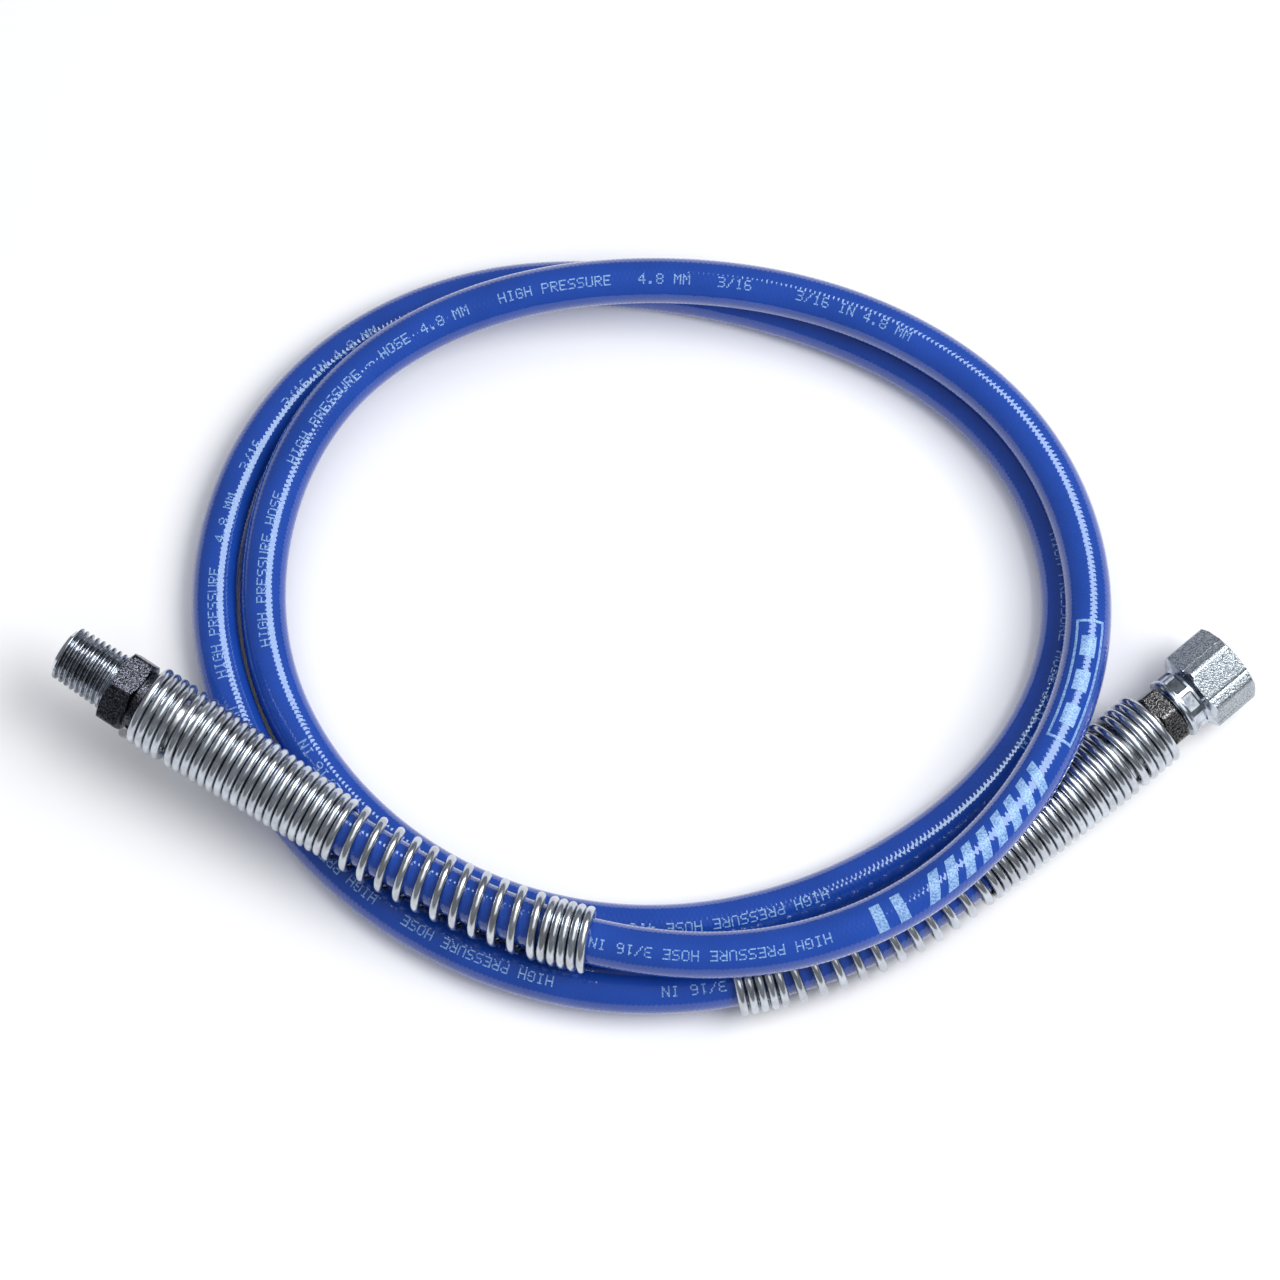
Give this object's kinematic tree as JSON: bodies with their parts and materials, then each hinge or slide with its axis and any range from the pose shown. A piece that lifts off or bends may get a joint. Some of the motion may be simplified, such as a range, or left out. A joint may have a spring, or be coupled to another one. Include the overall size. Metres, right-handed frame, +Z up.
{
  "type": "airless spray whip hose",
  "caption": "Coiled high-pressure hose with wire spring guards, a fixed male pipe-thread fitting on one end and a swivelling hex nut on the other.",
  "frame": {"origin": "middle of the footprint, on the surface the hose lies on", "axes": "+Z up; +X from the male fitting's side of the coil towards the swivel fitting's side; +Y away from the side where both guards lie"},
  "size_m": [0.2638, 0.1763, 0.0316],
  "materials": {
    "hose_blue": "glossy moulded polyurethane with light printed lettering",
    "braid_yarn": "tight woven polyester yarn",
    "core_nylon": "smooth extruded nylon",
    "zinc_fitting": "bright zinc plate over turned steel",
    "zinc_sleeve": "bright zinc plate, crimped",
    "zinc_wire": "bright zinc-plated spring wire",
    "zinc_nut": "bright zinc plate over forged steel"
  },
  "bodies": {
    "hose_line": {"hose_cover": "hose_blue", "hose_braid": "braid_yarn", "hose_core": "core_nylon", "male_stem": "zinc_fitting", "male_ferrule": "zinc_sleeve", "male_spring_guard": "zinc_wire", "swivel_stem": "zinc_fitting", "swivel_ferrule": "zinc_sleeve", "swivel_spring_guard": "zinc_wire"},
    "nut": {"swivel_nut": "zinc_nut"}
  },
  "joints": [
    {"name": "nut_spin", "type": "hinge", "parent": "hose_line", "child": "nut", "pos_m": [0.11931, -0.01462, 0.0107], "axis": [0.7627, 0.6454, 0.0411], "continuous": true}
  ]
}
